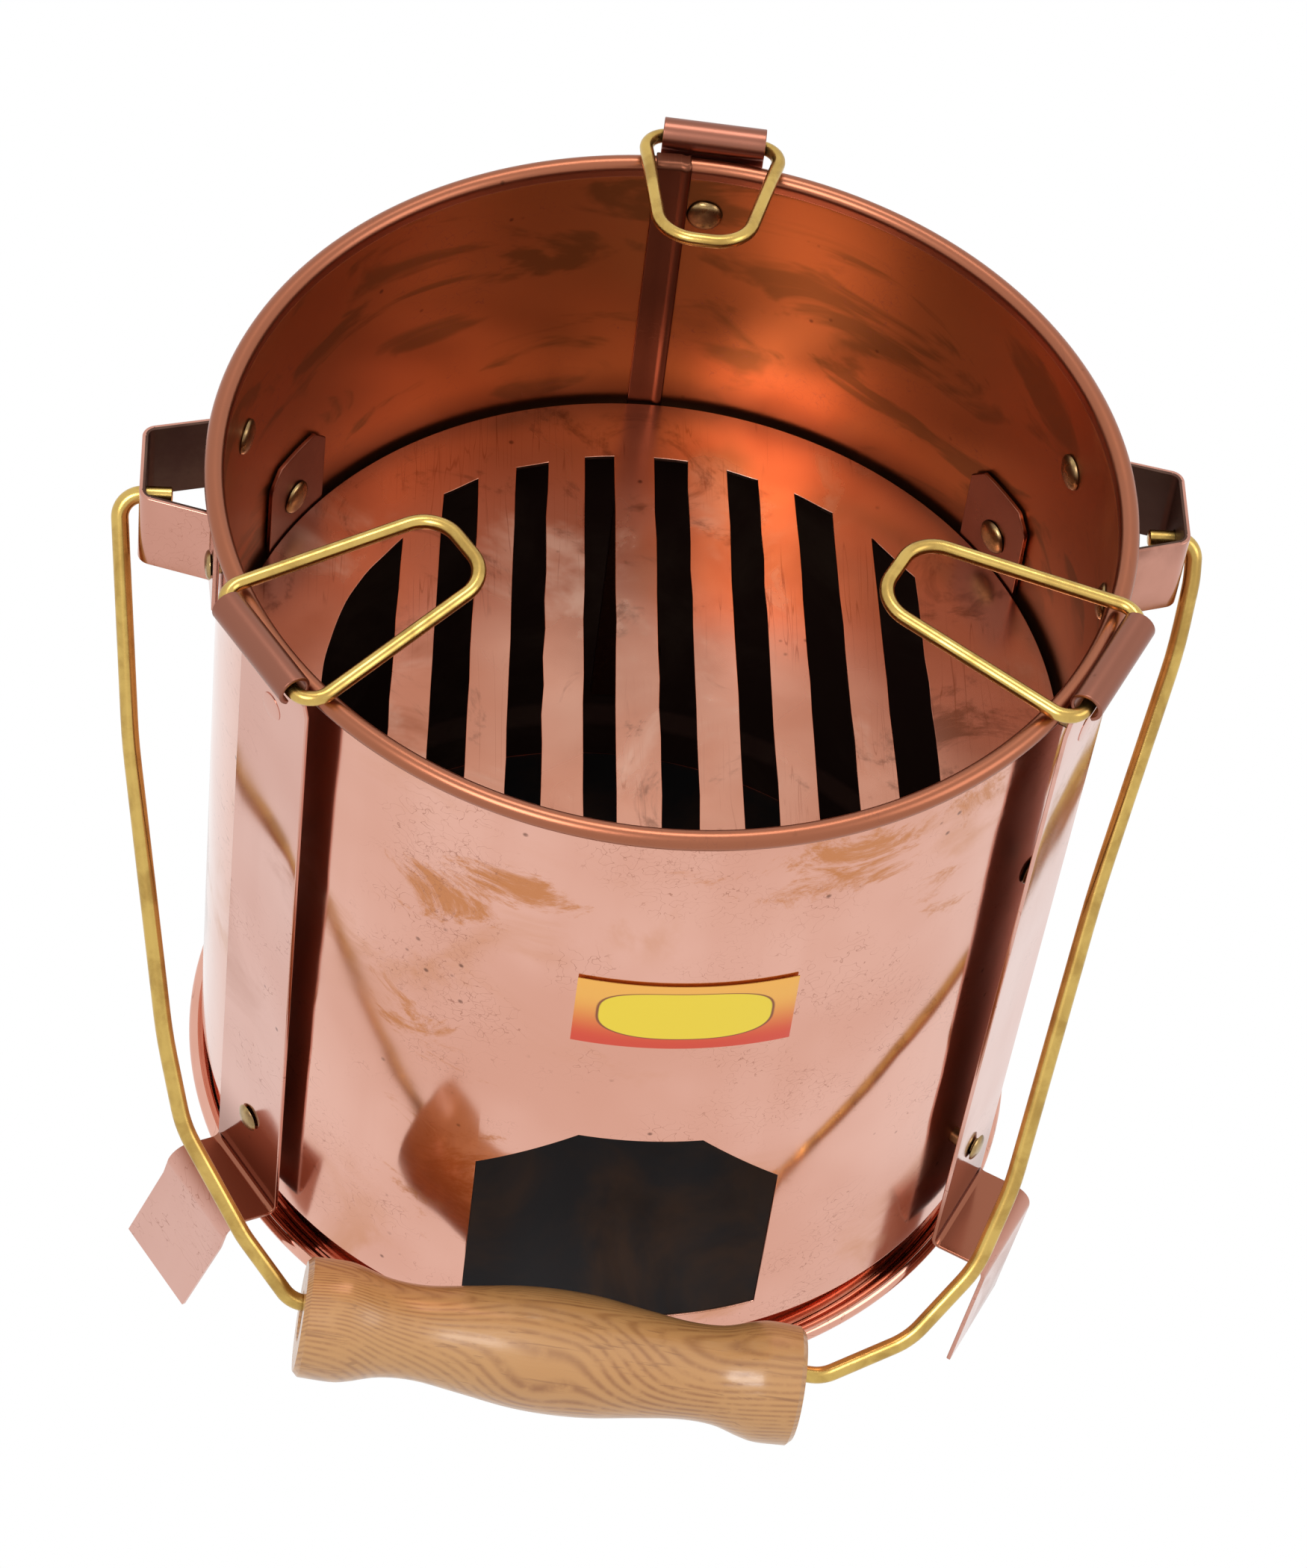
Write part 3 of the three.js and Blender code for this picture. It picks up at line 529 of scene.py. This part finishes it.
def rounded(corners, step=6):
    """Corners, each with its radius, to a line of points with round corners."""
    out = []
    for i, corner in enumerate(corners):
        at = Vector((*corner[:-1], 0))
        if not corner[-1] or i in (0, len(corners) - 1):
            out.append(at)
            continue
        ends = [Vector((*corners[k][:-1], 0)) - at for k in (i - 1, i + 1)]
        room = 0.49 * min(v.length for v in ends)
        before, after = (v.normalized() for v in ends)
        turn = math.pi - before.angle(after)
        cut = min(corner[-1] * math.tan(turn / 2), room)
        r = cut / math.tan(turn / 2)
        centre = at + (before + after).normalized() * (r / math.cos(turn / 2))
        start, end = at + before * cut - centre, at + after * cut - centre
        n = max(3, math.ceil(math.degrees(turn) / step))
        for k in range(n + 1):
            s = k / n
            point = (start * math.sin((1 - s) * turn) + end * math.sin(s * turn)) / math.sin(turn)
            out.append(centre + point)
    return out


def arc(cx, cy, r, start, end, n):
    angles = [math.radians(lerp(start, end, k / n)) for k in range(n + 1)]
    return [Vector((cx + r * math.cos(a), cy + r * math.sin(a), 0)) for a in angles]


def dome(r, foot, rise):
    """Quarter-round profile in eight points from the dome's edge to its crown."""
    return [(r * math.cos(k * math.pi / 14), foot + rise * math.sin(k * math.pi / 14)) for k in range(8)]


def dense(points, step):
    """The same line with no stretch longer than step."""
    out = [points[0]]
    for a, b in zip(points, points[1:]):
        n = max(1, math.ceil((b - a).length / step))
        out += [a.lerp(b, k / n) for k in range(1, n + 1)]
    return out


def lathe(profile, steps, closed=False, frame=None):
    """Profile in radius and height round the frame's third axis."""
    frame = frame or Matrix.Identity(4)
    rows = []
    for k in range(steps):
        a = 2 * math.pi * k / steps
        rows.append([frame @ Vector((p[0] * math.cos(a), p[0] * math.sin(a), p[1])) for p in profile])
    return grid(rows, close_rows=True, close_columns=closed)


def tube(points, normal, r, sides=20):
    """Round wire along points in the plane square to normal, with softened ends."""
    rings = []
    last = len(points) - 1
    for i, point in enumerate(points):
        a = (point - points[max(i - 1, 0)]).normalized()
        b = (points[min(i + 1, last)] - point).normalized()
        a, b = (b, b) if i == 0 else (a, a) if i == last else (a, b)
        side = (a + b).normalized().cross(normal)
        ring = [side * math.cos(2 * math.pi * k / sides) + normal * math.sin(2 * math.pi * k / sides)
                for k in range(sides)]
        if i == 0:
            rings.append([point + v * r * 0.75 for v in ring])
            rings.append([point + b * 0.3 + v * r for v in ring])
        elif i == last:
            rings.append([point - a * 0.3 + v * r for v in ring])
            rings.append([point + v * r * 0.75 for v in ring])
        else:
            rings.append([point + v * r for v in ring])
    bm = grid(rings, close_columns=True)
    bmesh.ops.holes_fill(bm, edges=[e for e in bm.edges if e.is_boundary], sides=0)
    return bm


def basis(x, y, z, at=Vector()):
    m = Matrix((x, y, z)).transposed().to_4x4()
    m.translation = at
    return m


# ---- wall, rim wire and seam --------------------------------------------------------------------
def near_opening(bm):
    """Faces of the front in and close round the air opening."""
    middles = [(f, f.calc_center_median()) for f in bm.faces]
    return [f for f, p in middles if p.y < -60 and abs(p.x) < 45 and 40 < p.z < 125]


def in_opening(p):
    edges = zip(OPENING, OPENING[1:] + OPENING[:1])
    return all((x1 - x0) * (p.z - z0) - (z1 - z0) * (p.x - x0) > 0 for (x0, z0), (x1, z1) in edges)


profile = rounded([(NECK_R, NECK_FOOT_Z, 0), (NECK_R, NECK_TOP_Z, CREASE_BEND),
                   (WALL_FOOT_R, CREASE_Z, CREASE_BEND), (WALL_TOP_R, BEAD_Z, 0)])
profile = dense(profile[:-1] + [Vector((WALL_TOP_R, BEAD_Z - 0.4, 0))], 7)
profile += arc(WALL_TOP_R + BEAD_R, BEAD_Z, BEAD_R, *BEAD_ARC, 22)
bm = lathe(profile, 224)
front = near_opening(bm)
for (x0, z0), (x1, z1) in zip(OPENING, OPENING[1:] + OPENING[:1]):
    out = Vector((z1 - z0, 0, x0 - x1)).normalized()
    geom = front + list({e for f in front for e in f.edges}) + list({v for f in front for v in f.verts})
    bmesh.ops.bisect_plane(bm, geom=geom, plane_co=(x0, 0, z0), plane_no=out, dist=0.001)
    front = near_opening(bm)
bmesh.ops.delete(bm, geom=[f for f in front if in_opening(f.calc_center_median())], context="FACES")
piece("body_shell_piece", bm, "wall", "brazier", "body_shell", sheet=WALL_T, bevel=0.12)

rows = []
for p in dense(rounded(SEAM_LINE), 12):
    rows.append([radial(SEAM_AZ) * (p.x - lift) + tangent(SEAM_AZ) * t + EZ * p.y
                 for t, lift in SEAM_SECTION])
piece("seam_fold", grid(rows), "seam", "brazier", sheet=SEAM_T, bevel=0.25)

section = arc(WALL_TOP_R + BEAD_R, BEAD_Z, RIM_WIRE_R, 0, 360, 12)[:-1]
piece("rim_wire_piece", lathe(section, 160, closed=True), "steel", "brazier", "rim_wire")

# ---- pan ----------------------------------------------------------------------------------------
profile = rounded([(0, PAN_FLOOR_Z, 0), (PAN_FLOOR_R, PAN_FLOOR_Z, PAN_BEND),
                   (PAN_LIP_R - PAN_ROLL_R, PAN_LIP_Z, 0)])
profile = dense(profile[:-1], 12) + arc(PAN_LIP_R, PAN_LIP_Z, PAN_ROLL_R, 180, -60, 16)
piece("base_pan_piece", lathe(profile, 200), "pan", "brazier", "base_pan", sheet=PAN_T, bevel=0.12)


# ---- grate --------------------------------------------------------------------------------------
def slot_outline(x0, x1, end):
    def edge(x, y):
        return x + SLOT_FAN * (x - SLOT_FAN_X) * (SLOT_END_R - y)

    def meet(x, sign):
        low, high = 0.0, float(end)
        for _ in range(40):
            y = (low + high) / 2
            inside = math.hypot(edge(x, sign * y), y) < end
            low, high = (y, high) if inside else (low, y)
        return Vector((edge(x, sign * low), sign * low, 0))

    right = [meet(x1, -1), meet(x1, 1)]
    if abs(x0) >= end:
        a0 = math.degrees(math.atan2(right[1].y, right[1].x))
        a1 = math.degrees(math.atan2(right[0].y, right[0].x)) % 360
        return dense(right, 9)[:-1] + arc(0, 0, end, a0, a1, 40)[:-1]
    left = [meet(x0, 1), meet(x0, -1)]
    return (dense(right, 9)[:-1] + dense([right[1], left[0]], 3)[:-1]
            + dense(left, 9)[:-1] + dense([left[1], right[0]], 3)[:-1])


bm = bmesh.new()
outlines = [arc(0, 0, GRATE_R, 0, 360, 200)[:-1]]
outlines += [slot_outline(x0, x1, SLOT_D_R if x0 < -SLOT_D_R else SLOT_END_R) for x0, x1 in SLOT_EDGES]
for n, outline in enumerate(outlines):
    ring = []
    for p in outline:
        shake = noise.noise_vector(Vector((p.x * 0.11, p.y * 0.11, n * 3.7))) * (SLOT_SHAKE if n else 0)
        ring.append(bm.verts.new((p.x + shake.x, p.y + shake.y, GRATE_TOP_Z - GRATE_T / 2)))
    for a, b in zip(ring, ring[1:] + ring[:1]):
        bm.edges.new((a, b))
bmesh.ops.triangle_fill(bm, use_beauty=True, use_dissolve=False, edges=list(bm.edges))
piece("grate_piece", bm, "grate", "brazier", "grate", sheet=GRATE_T, bevel=0.15)

# ---- tabs ---------------------------------------------------------------------------------------
flange_z = GRATE_TOP_Z - GRATE_T - TAB_GAP - TAB_T / 2
flat = TAB_HALF - TAB_CORNER  # half the width of the tab's top between its cut corners
for name, az in TABS.items():
    line = dense(rounded([(TAB_REACH, flange_z, 0), (TAB_R, flange_z, 1.6), (TAB_R, TAB_TOP_Z, 0)], 15), 3)
    rows = []
    for p in line:
        row = []
        for t in (-TAB_HALF, -9.7, -8.3, -flat, -3.5, 0, 3.5, flat, 8.3, 9.7, TAB_HALF):
            top = TAB_TOP_Z - max(0, abs(t) - flat)
            s = max(0, (p.y - TAB_CORNER_Z) / (TAB_TOP_Z - TAB_CORNER_Z))
            z = lerp(TAB_CORNER_Z, top, s) if s else p.y
            row.append(radial(az) * math.sqrt(p.x ** 2 - t ** 2) + tangent(az) * t + EZ * z)
        rows.append(row)
    piece(f"grate_tab_{name}_piece", grid(rows), "tab", "brazier", f"grate_tab_{name}", sheet=TAB_T,
          bevel=0.18)

# ---- legs ---------------------------------------------------------------------------------------
for name, leg in LEGS.items():
    er, et = radial(leg["az"]), tangent(leg["az"])
    begin = 180 + math.degrees(math.acos((BARREL_R - STRAP_TOP_R) / BARREL_ROLL))
    aim, knee = Vector((leg["tip"], FOOT_AIM_Z, 0)), Vector((*leg["knee"], 0))
    foot = aim.lerp(knee, (FOOT_END_Z - FOOT_AIM_Z) / (knee.y - FOOT_AIM_Z))
    line = rounded([(foot.x, foot.y, 0), (*leg["knee"], 4), (STRAP_FOOT_R, leg["bend"], 1.8),
                    (STRAP_TOP_R, SHOULDER_Z, 0)])
    line = dense(line, 5) + arc(BARREL_R, BARREL_Z, BARREL_ROLL, begin, BARREL_END, 40)
    rows = []
    for p in line:
        widened = min(max((p.y - SHOULDER_Z) / SHOULDER_H, 0), 1)
        half = lerp(leg["width"], leg["barrel"], widened) / 2
        if p.y > SHOULDER_Z:
            shift = leg["shift"][0] * (1 - widened)
        elif p.y > FOOT_BEND_Z:
            shift = lerp(leg["shift"][1], leg["shift"][0], (p.y - FOOT_BEND_Z) / (SHOULDER_Z - FOOT_BEND_Z))
        else:
            shift = leg["shift"][1] + leg["swing"] * (FOOT_BEND_Z - p.y) / FOOT_BEND_Z
        rows.append([er * p.x + et * (shift + half * k / 4) + EZ * p.y for k in range(-4, 5)])
    piece(f"leg_{name}_piece", grid(rows), "strap", "brazier", f"leg_{name}", sheet=STRAP_T, bevel=0.2)

# ---- pot rests ----------------------------------------------------------------------------------
for name, loop in LOOPS.items():
    az = LEGS[name]["az"]
    across = tangent(az)
    normal = Matrix.Rotation(math.radians(LOOP_RISE), 3, across) @ EZ
    inward = -across.cross(normal)
    hinge = radial(az) * BARREL_R + EZ * HINGE_Z
    tip = [(loop["lean"] + s * loop["tip"], loop["length"], loop["corner"]) for s in (1, -1)]
    line = rounded([(LOOP_MEET, 0, 0), (loop["base"], 0, LOOP_BEND), *tip, (-loop["base"], 0, LOOP_BEND),
                    (-LOOP_MEET, 0, 0)], 7)
    line = [hinge + across * p.x + inward * p.y for p in line]
    piece(f"pot_rest_{name}_piece", tube(line, normal, LOOP_WIRE_R), "wire", f"pot_rest_{name}",
          f"pot_rest_{name}")

# ---- bail brackets ------------------------------------------------------------------------------
bracket_z = (BRACKET_LOW + BRACKET_TOP) / 2
flange_r = wall_r(bracket_z) + WALL_T / 2 + BRACKET_GAP + BRACKET_T / 2
pivots = {}
rivets = {}
for name, side in (("left", -1), ("right", 1)):
    y = BRACKET_Y[name]
    pivots[name] = Vector((side * BRACKET_OUT, y, PIVOT_Z))
    mouth = [Vector((side * math.sqrt(flange_r ** 2 - e ** 2), e, 0))
             for e in (y + BRACKET_MOUTH, y - BRACKET_MOUTH)]
    ends = []
    for k, p in zip((1, -1), mouth):
        a = math.asin(p.y / flange_r) + k * BRACKET_FLANGE / flange_r
        ends.append(Vector((side * flange_r * math.cos(a), flange_r * math.sin(a), 0)))
    face = [(side * BRACKET_OUT, y + s, r) for s, r in ((BRACKET_FACE, BRACKET_BEND), (PIVOT_FIELD, 0),
                                                        (-PIVOT_FIELD, 0), (-BRACKET_FACE, BRACKET_BEND))]
    line = rounded([(ends[0].x, ends[0].y, 0), (mouth[0].x, mouth[0].y, BRACKET_MOUTH_BEND), *face,
                    (mouth[1].x, mouth[1].y, BRACKET_MOUTH_BEND), (ends[1].x, ends[1].y, 0)], 9)
    levels = (BRACKET_LOW, PIVOT_Z - PIVOT_FIELD, PIVOT_Z + PIVOT_FIELD, BRACKET_TOP)
    bm = grid([[p + EZ * z for z in levels] for p in line])
    middle = min(bm.faces, key=lambda f: (f.calc_center_median() - pivots[name]).length)
    edges = list(middle.edges)
    bmesh.ops.delete(bm, geom=[middle], context="FACES_ONLY")
    hole_frame = Matrix.Translation(pivots[name]) @ Matrix.Rotation(math.pi / 2, 4, "Y")
    ring = bmesh.ops.create_circle(bm, segments=24, radius=BAIL_HOLE_R, matrix=hole_frame)
    edges += list({e for v in ring["verts"] for e in v.link_edges})
    bmesh.ops.bridge_loops(bm, edges=edges)
    piece(f"bail_bracket_{name}_piece", bm, "bracket", "brazier", f"bail_bracket_{name}", sheet=BRACKET_T,
          bevel=0.25)
    for end, a, b in (("back", ends[0], mouth[0]), ("front", ends[1], mouth[1])):
        p = a.lerp(b, BRACKET_RIVET_AT)
        rivets[f"bail_bracket_{name}_rivet_{end}"] = (math.degrees(math.atan2(p.y, p.x)), bracket_z,
                                                      wall_r(bracket_z) - WALL_T / 2, flange_r + BRACKET_T / 2)

# ---- bail and grip ------------------------------------------------------------------------------
across = (pivots["right"] - pivots["left"]).normalized()
middle = (pivots["left"] + pivots["right"]) / 2
swing = math.radians(BAIL_SWING)
down = Vector((across.y, -across.x, 0)) * math.sin(swing) - EZ * math.cos(swing)
line = [middle + across * p.x + down * p.y for p in rounded(BAIL, 4)]
piece("bail_wire_piece", tube(line, across.cross(down), BAIL_WIRE_R, 24), "wire", "bail", "bail_wire")

(u0, w0, _), (u1, w1, _) = BAIL_MIDDLE
along = (across * (u1 - u0) + down * (w1 - w0)).normalized()
centre = middle + across * GRIP_CENTRE + down * (lerp(w0, w1, (GRIP_CENTRE - u0) / (u1 - u0)) + GRIP_HANG)
side = along.cross(EZ).normalized()
grip_frame = basis(side, along.cross(side), along, centre)


def smooth_profile(points, n):
    """Curve through the points, n steps a stretch; the two end stretches stay straight."""
    out = []
    for i in range(len(points) - 1):
        p1, p2 = Vector(points[i]), Vector(points[i + 1])
        p0 = Vector(points[i - 1]) if i > 1 else p1
        p3 = Vector(points[i + 2]) if i < len(points) - 3 else p2
        for k in range(n if 0 < i < len(points) - 2 else 1):
            s = k / n
            out.append(0.5 * (2 * p1 + (p2 - p0) * s + (2 * p0 - 5 * p1 + 4 * p2 - p3) * s * s
                              + (3 * p1 - p0 - 3 * p2 + p3) * s ** 3))
    return out + [Vector(points[-1])]


profile = [(p.y, p.x) for p in smooth_profile(GRIP_PROFILE, 5)]
end = GRIP_PROFILE[-1][0]
profile += [(GRIP_BORE_R + GRIP_BORE_EDGE, end), (GRIP_BORE_R, end - GRIP_BORE_EDGE),
            (GRIP_BORE_R, GRIP_BORE_EDGE - end), (GRIP_BORE_R + GRIP_BORE_EDGE, -end)]
turn = basis(along, side, along.cross(side)).to_euler()
MATERIALS["wood"] = wood_material((centre + AXIS) / 1000, turn)
piece("grip_piece", lathe(profile, 80, closed=True, frame=grip_frame), "wood", "grip", "grip", angle=35)

# ---- rivets -------------------------------------------------------------------------------------
for name, az in TABS.items():
    rivets[f"grate_tab_{name}_rivet"] = (az, TAB_RIVET_Z, TAB_R - TAB_T / 2, wall_r(TAB_RIVET_Z) + WALL_T / 2)
for name, leg in LEGS.items():
    for end, z in LEG_RIVET_Z.items():
        s = (z - FOOT_BEND_Z) / (SHOULDER_Z - FOOT_BEND_Z)
        turned = math.atan2(lerp(leg["shift"][1], leg["shift"][0], s), strap_r(z))
        outer = (strap_r(z) + STRAP_T / 2) / math.cos(turned) + RIVET_TAIL_R * math.tan(abs(turned)) + 0.1
        rivets[f"leg_{name}_rivet_{end}"] = (leg["az"] + math.degrees(turned), z, wall_r(z) - WALL_T / 2, outer)
for name, (az, z, inner, outer) in rivets.items():
    flush = name.startswith("leg_") and name.endswith("_top")
    head = dome(RIVET_HEAD_R, inner - RIVET_GAP, -RIVET_HEAD_H)[::-1]
    if flush:
        tail = dome(RIVET_TAIL_R, outer, RIVET_FLUSH_H)
    else:
        tail = dome(RIVET_TAIL_R, outer + RIVET_GAP, RIVET_TAIL_H)
    frame = basis(tangent(az), EZ, radial(az), EZ * z)
    shank = [(RIVET_SHANK_R, inner - RIVET_GAP), (RIVET_SHANK_R, outer - 0.2)]
    bm = lathe(head + shank + ([] if flush else tail), RIVET_STEPS, frame=frame)
    for v in bm.verts:
        v.co += noise.noise_vector(v.co * 0.35) * RIVET_DENTS
    piece(f"{name}_piece", bm, "rivet", "brazier", name, angle=50)
    if flush:
        cap = [shank[1], (RIVET_TAIL_R, outer - 0.2)] + tail
        piece(f"{name}_tail", lathe(cap, RIVET_STEPS, frame=frame), "strap", "brazier")

# ---- label --------------------------------------------------------------------------------------
r = wall_r(LABEL_Z[1]) + WALL_T / 2 + LABEL_IN + LABEL_T / 2
rows = [[radial(lerp(*LABEL_AZ, k / 40)) * r + EZ * lerp(*LABEL_Z, j / 6) for j in range(7)] for k in range(41)]
piece("label_piece", grid(rows), "sticker", "brazier", "label", sheet=LABEL_T)

# ---- light and camera ---------------------------------------------------------------------------
scene = bpy.context.scene
scene.view_settings.view_transform = "Standard"
world = bpy.data.worlds.new("studio")
world.use_nodes = True
world.node_tree.nodes.clear()
t = Tree(world.node_tree)
path = t.node("LightPath").outputs
seen = t.math("MAXIMUM", path["Is Glossy Ray"], path["Is Transmission Ray"])
seen = t.math("MAXIMUM", path["Is Camera Ray"], seen)
strength = t.step(seen, 0.0, 1.0, 0.75, 1.0)
background = t.node("Background", rgb(1, 1, 1), strength)
t.put(t.node("OutputWorld").inputs[0], background.outputs[0])
scene.world = world


def towards(azimuth, elevation):
    """Direction at an azimuth in degrees and an elevation in radians."""
    return radial(azimuth) * math.cos(elevation) + EZ * math.sin(elevation)


def lamp(name, azimuth, elevation, distance, size, power):
    light = bpy.data.lights.new(name, "AREA")
    light.shape, light.size, light.energy = "DISK", size, power
    obj = bpy.data.objects.new(name, light)
    scene.collection.objects.link(obj)
    way = towards(azimuth, math.radians(elevation))
    obj.location = Vector((0, 0, 0.12)) + way * distance
    obj.rotation_euler = way.to_track_quat("Z", "Y").to_euler()


lamp("key", -125, 50, 1.6, 0.7, 9)
lamp("fill", -20, 35, 1.8, 1.0, 5)
lamp("top", 80, 75, 1.6, 0.6, 5)

# the view of the reference picture: azimuth in degrees, elevation and roll in radians, distance in metres,
# the height looked at in millimetres, and the lens in picture points
VIEW_AZIMUTH, VIEW_ELEVATION, VIEW_ROLL, VIEW_DISTANCE, VIEW_AIM_Z = -97, 0.865, 0.138, 1.2284, 135.2
PICTURE_HEIGHT, PICTURE_FOCUS, PICTURE_SHIFT = 2100, 7152, (21.5, -44.8)
back = towards(VIEW_AZIMUTH, VIEW_ELEVATION)
camera = bpy.data.objects.new("camera", bpy.data.cameras.new("camera"))
scene.collection.objects.link(camera)
camera.location = (AXIS + EZ * VIEW_AIM_Z) / 1000 + back * VIEW_DISTANCE
turned = back.to_track_quat("Z", "Y").to_matrix() @ Matrix.Rotation(VIEW_ROLL, 3, "Z")
camera.rotation_euler = turned.to_euler()
camera.data.sensor_width = 36
camera.data.lens = 36 * PICTURE_FOCUS / PICTURE_HEIGHT
camera.data.shift_x, camera.data.shift_y = (shift / PICTURE_HEIGHT for shift in PICTURE_SHIFT)
camera.data.clip_end = 20
scene.camera = camera
